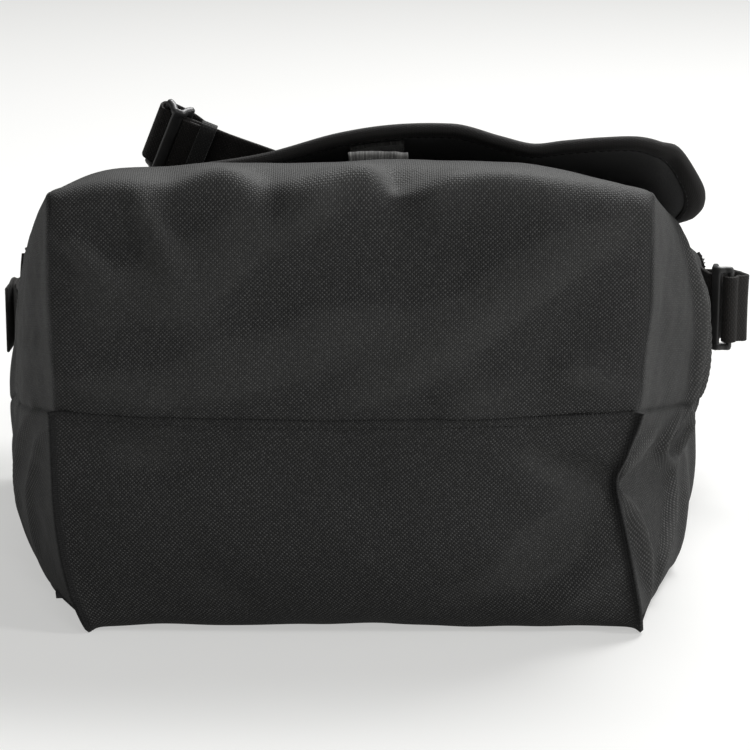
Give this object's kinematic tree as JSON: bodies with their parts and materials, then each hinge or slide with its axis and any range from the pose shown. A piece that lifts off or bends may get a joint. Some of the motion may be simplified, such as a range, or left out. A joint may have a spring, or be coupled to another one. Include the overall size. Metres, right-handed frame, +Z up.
{
  "type": "messenger bag",
  "caption": "Wedge-shaped soft messenger bag of heavy woven cloth with a bound flap over the front and an adjustable webbing shoulder strap",
  "frame": {"origin": "middle of the bounding box's bottom face, where the bag lies on its back panel", "axes": "+Z up, the way the front panel faces while the bag lies on its back; -Y towards the bag's base, +Y towards its mouth; +X to the right as seen from the base"},
  "size_m": [0.4418, 0.4028, 0.2541],
  "materials": {
    "bag_cloth": "coarse plain weave, faint sheen",
    "lining_cloth": "fine smooth weave",
    "edge_tape": "ribbed woven tape",
    "strap_webbing": "ribbed webbing, brownish black",
    "black_plastic": "moulded, slightly glossy",
    "foam": "closed-cell foam",
    "pile_strip": "fuzzy pile, grey",
    "elastic_band": "knitted elastic"
  },
  "bodies": {
    "bag": {"front_panel": "bag_cloth", "back_panel": "bag_cloth", "gusset_right_lower": "bag_cloth", "gusset_right_upper": "bag_cloth", "gusset_left_lower": "bag_cloth", "gusset_left_upper": "bag_cloth", "lining_right": "lining_cloth", "lining_left": "lining_cloth", "lining_front": "lining_cloth", "lining_back": "lining_cloth", "foam_pad": "foam", "sleeve_wall": "lining_cloth", "pocket_panel": "lining_cloth", "zip_tape": "edge_tape", "mouth_tape_front": "edge_tape", "mouth_tape_right": "edge_tape", "mouth_tape_left": "edge_tape", "closure_loop_strip": "pile_strip", "strap_left_end": "strap_webbing", "anchor_webbing": "strap_webbing"},
    "flap": {"flap_outer": "bag_cloth", "flap_lining": "lining_cloth", "flap_binding": "edge_tape", "closure_hook_strip": "pile_strip"},
    "strap": {"strap_left_run": "strap_webbing", "strap_top_run": "strap_webbing", "strap_right_run": "strap_webbing"},
    "adjuster": {"adjuster": "black_plastic", "strap_tail": "strap_webbing"},
    "keeper": {"strap_keeper": "elastic_band"},
    "end_buckle": {"end_buckle": "black_plastic", "strap_right_end": "strap_webbing"},
    "zip_slider": {"zip_slider": "black_plastic"},
    "zip_pull": {"zip_pull": "black_plastic"}
  },
  "joints": [
    {"name": "strap_swing", "type": "hinge", "parent": "bag", "child": "strap", "pos_m": [-0.01405, 0.11956, 0.084], "axis": [-1, 0, 0], "range_deg": [0, 90]},
    {"name": "flap_hinge", "type": "hinge", "parent": "bag", "child": "flap", "pos_m": [-0.01405, 0.11956, 0.084], "axis": [-1, 0, 0], "range_deg": [0, 90]},
    {"name": "adjuster_slide", "type": "slide", "parent": "strap", "child": "adjuster", "axis": [0.9274, 0, -0.3741], "range_m": [0, 0.004]},
    {"name": "keeper_slide", "type": "slide", "parent": "strap", "child": "keeper", "axis": [0.9274, 0, -0.3741], "range_m": [0, 0.002]},
    {"name": "end_buckle_turn", "type": "hinge", "parent": "bag", "child": "end_buckle", "pos_m": [0.20145, 0.07556, 0.113], "axis": [0, 0, -1], "range_deg": [0, 25]},
    {"name": "zip_slide", "type": "slide", "parent": "bag", "child": "zip_slider", "axis": [1, 0, 0], "range_m": [0, 0.18]},
    {"name": "zip_pull_turn", "type": "hinge", "parent": "zip_slider", "child": "zip_pull", "pos_m": [-0.09805, 0.02756, 0.0411], "axis": [0, -1, 0], "range_deg": [0, 115]}
  ],
  "couplings": [
    {"joint": "flap_hinge", "follows": "strap_swing", "ratio": 1}
  ]
}
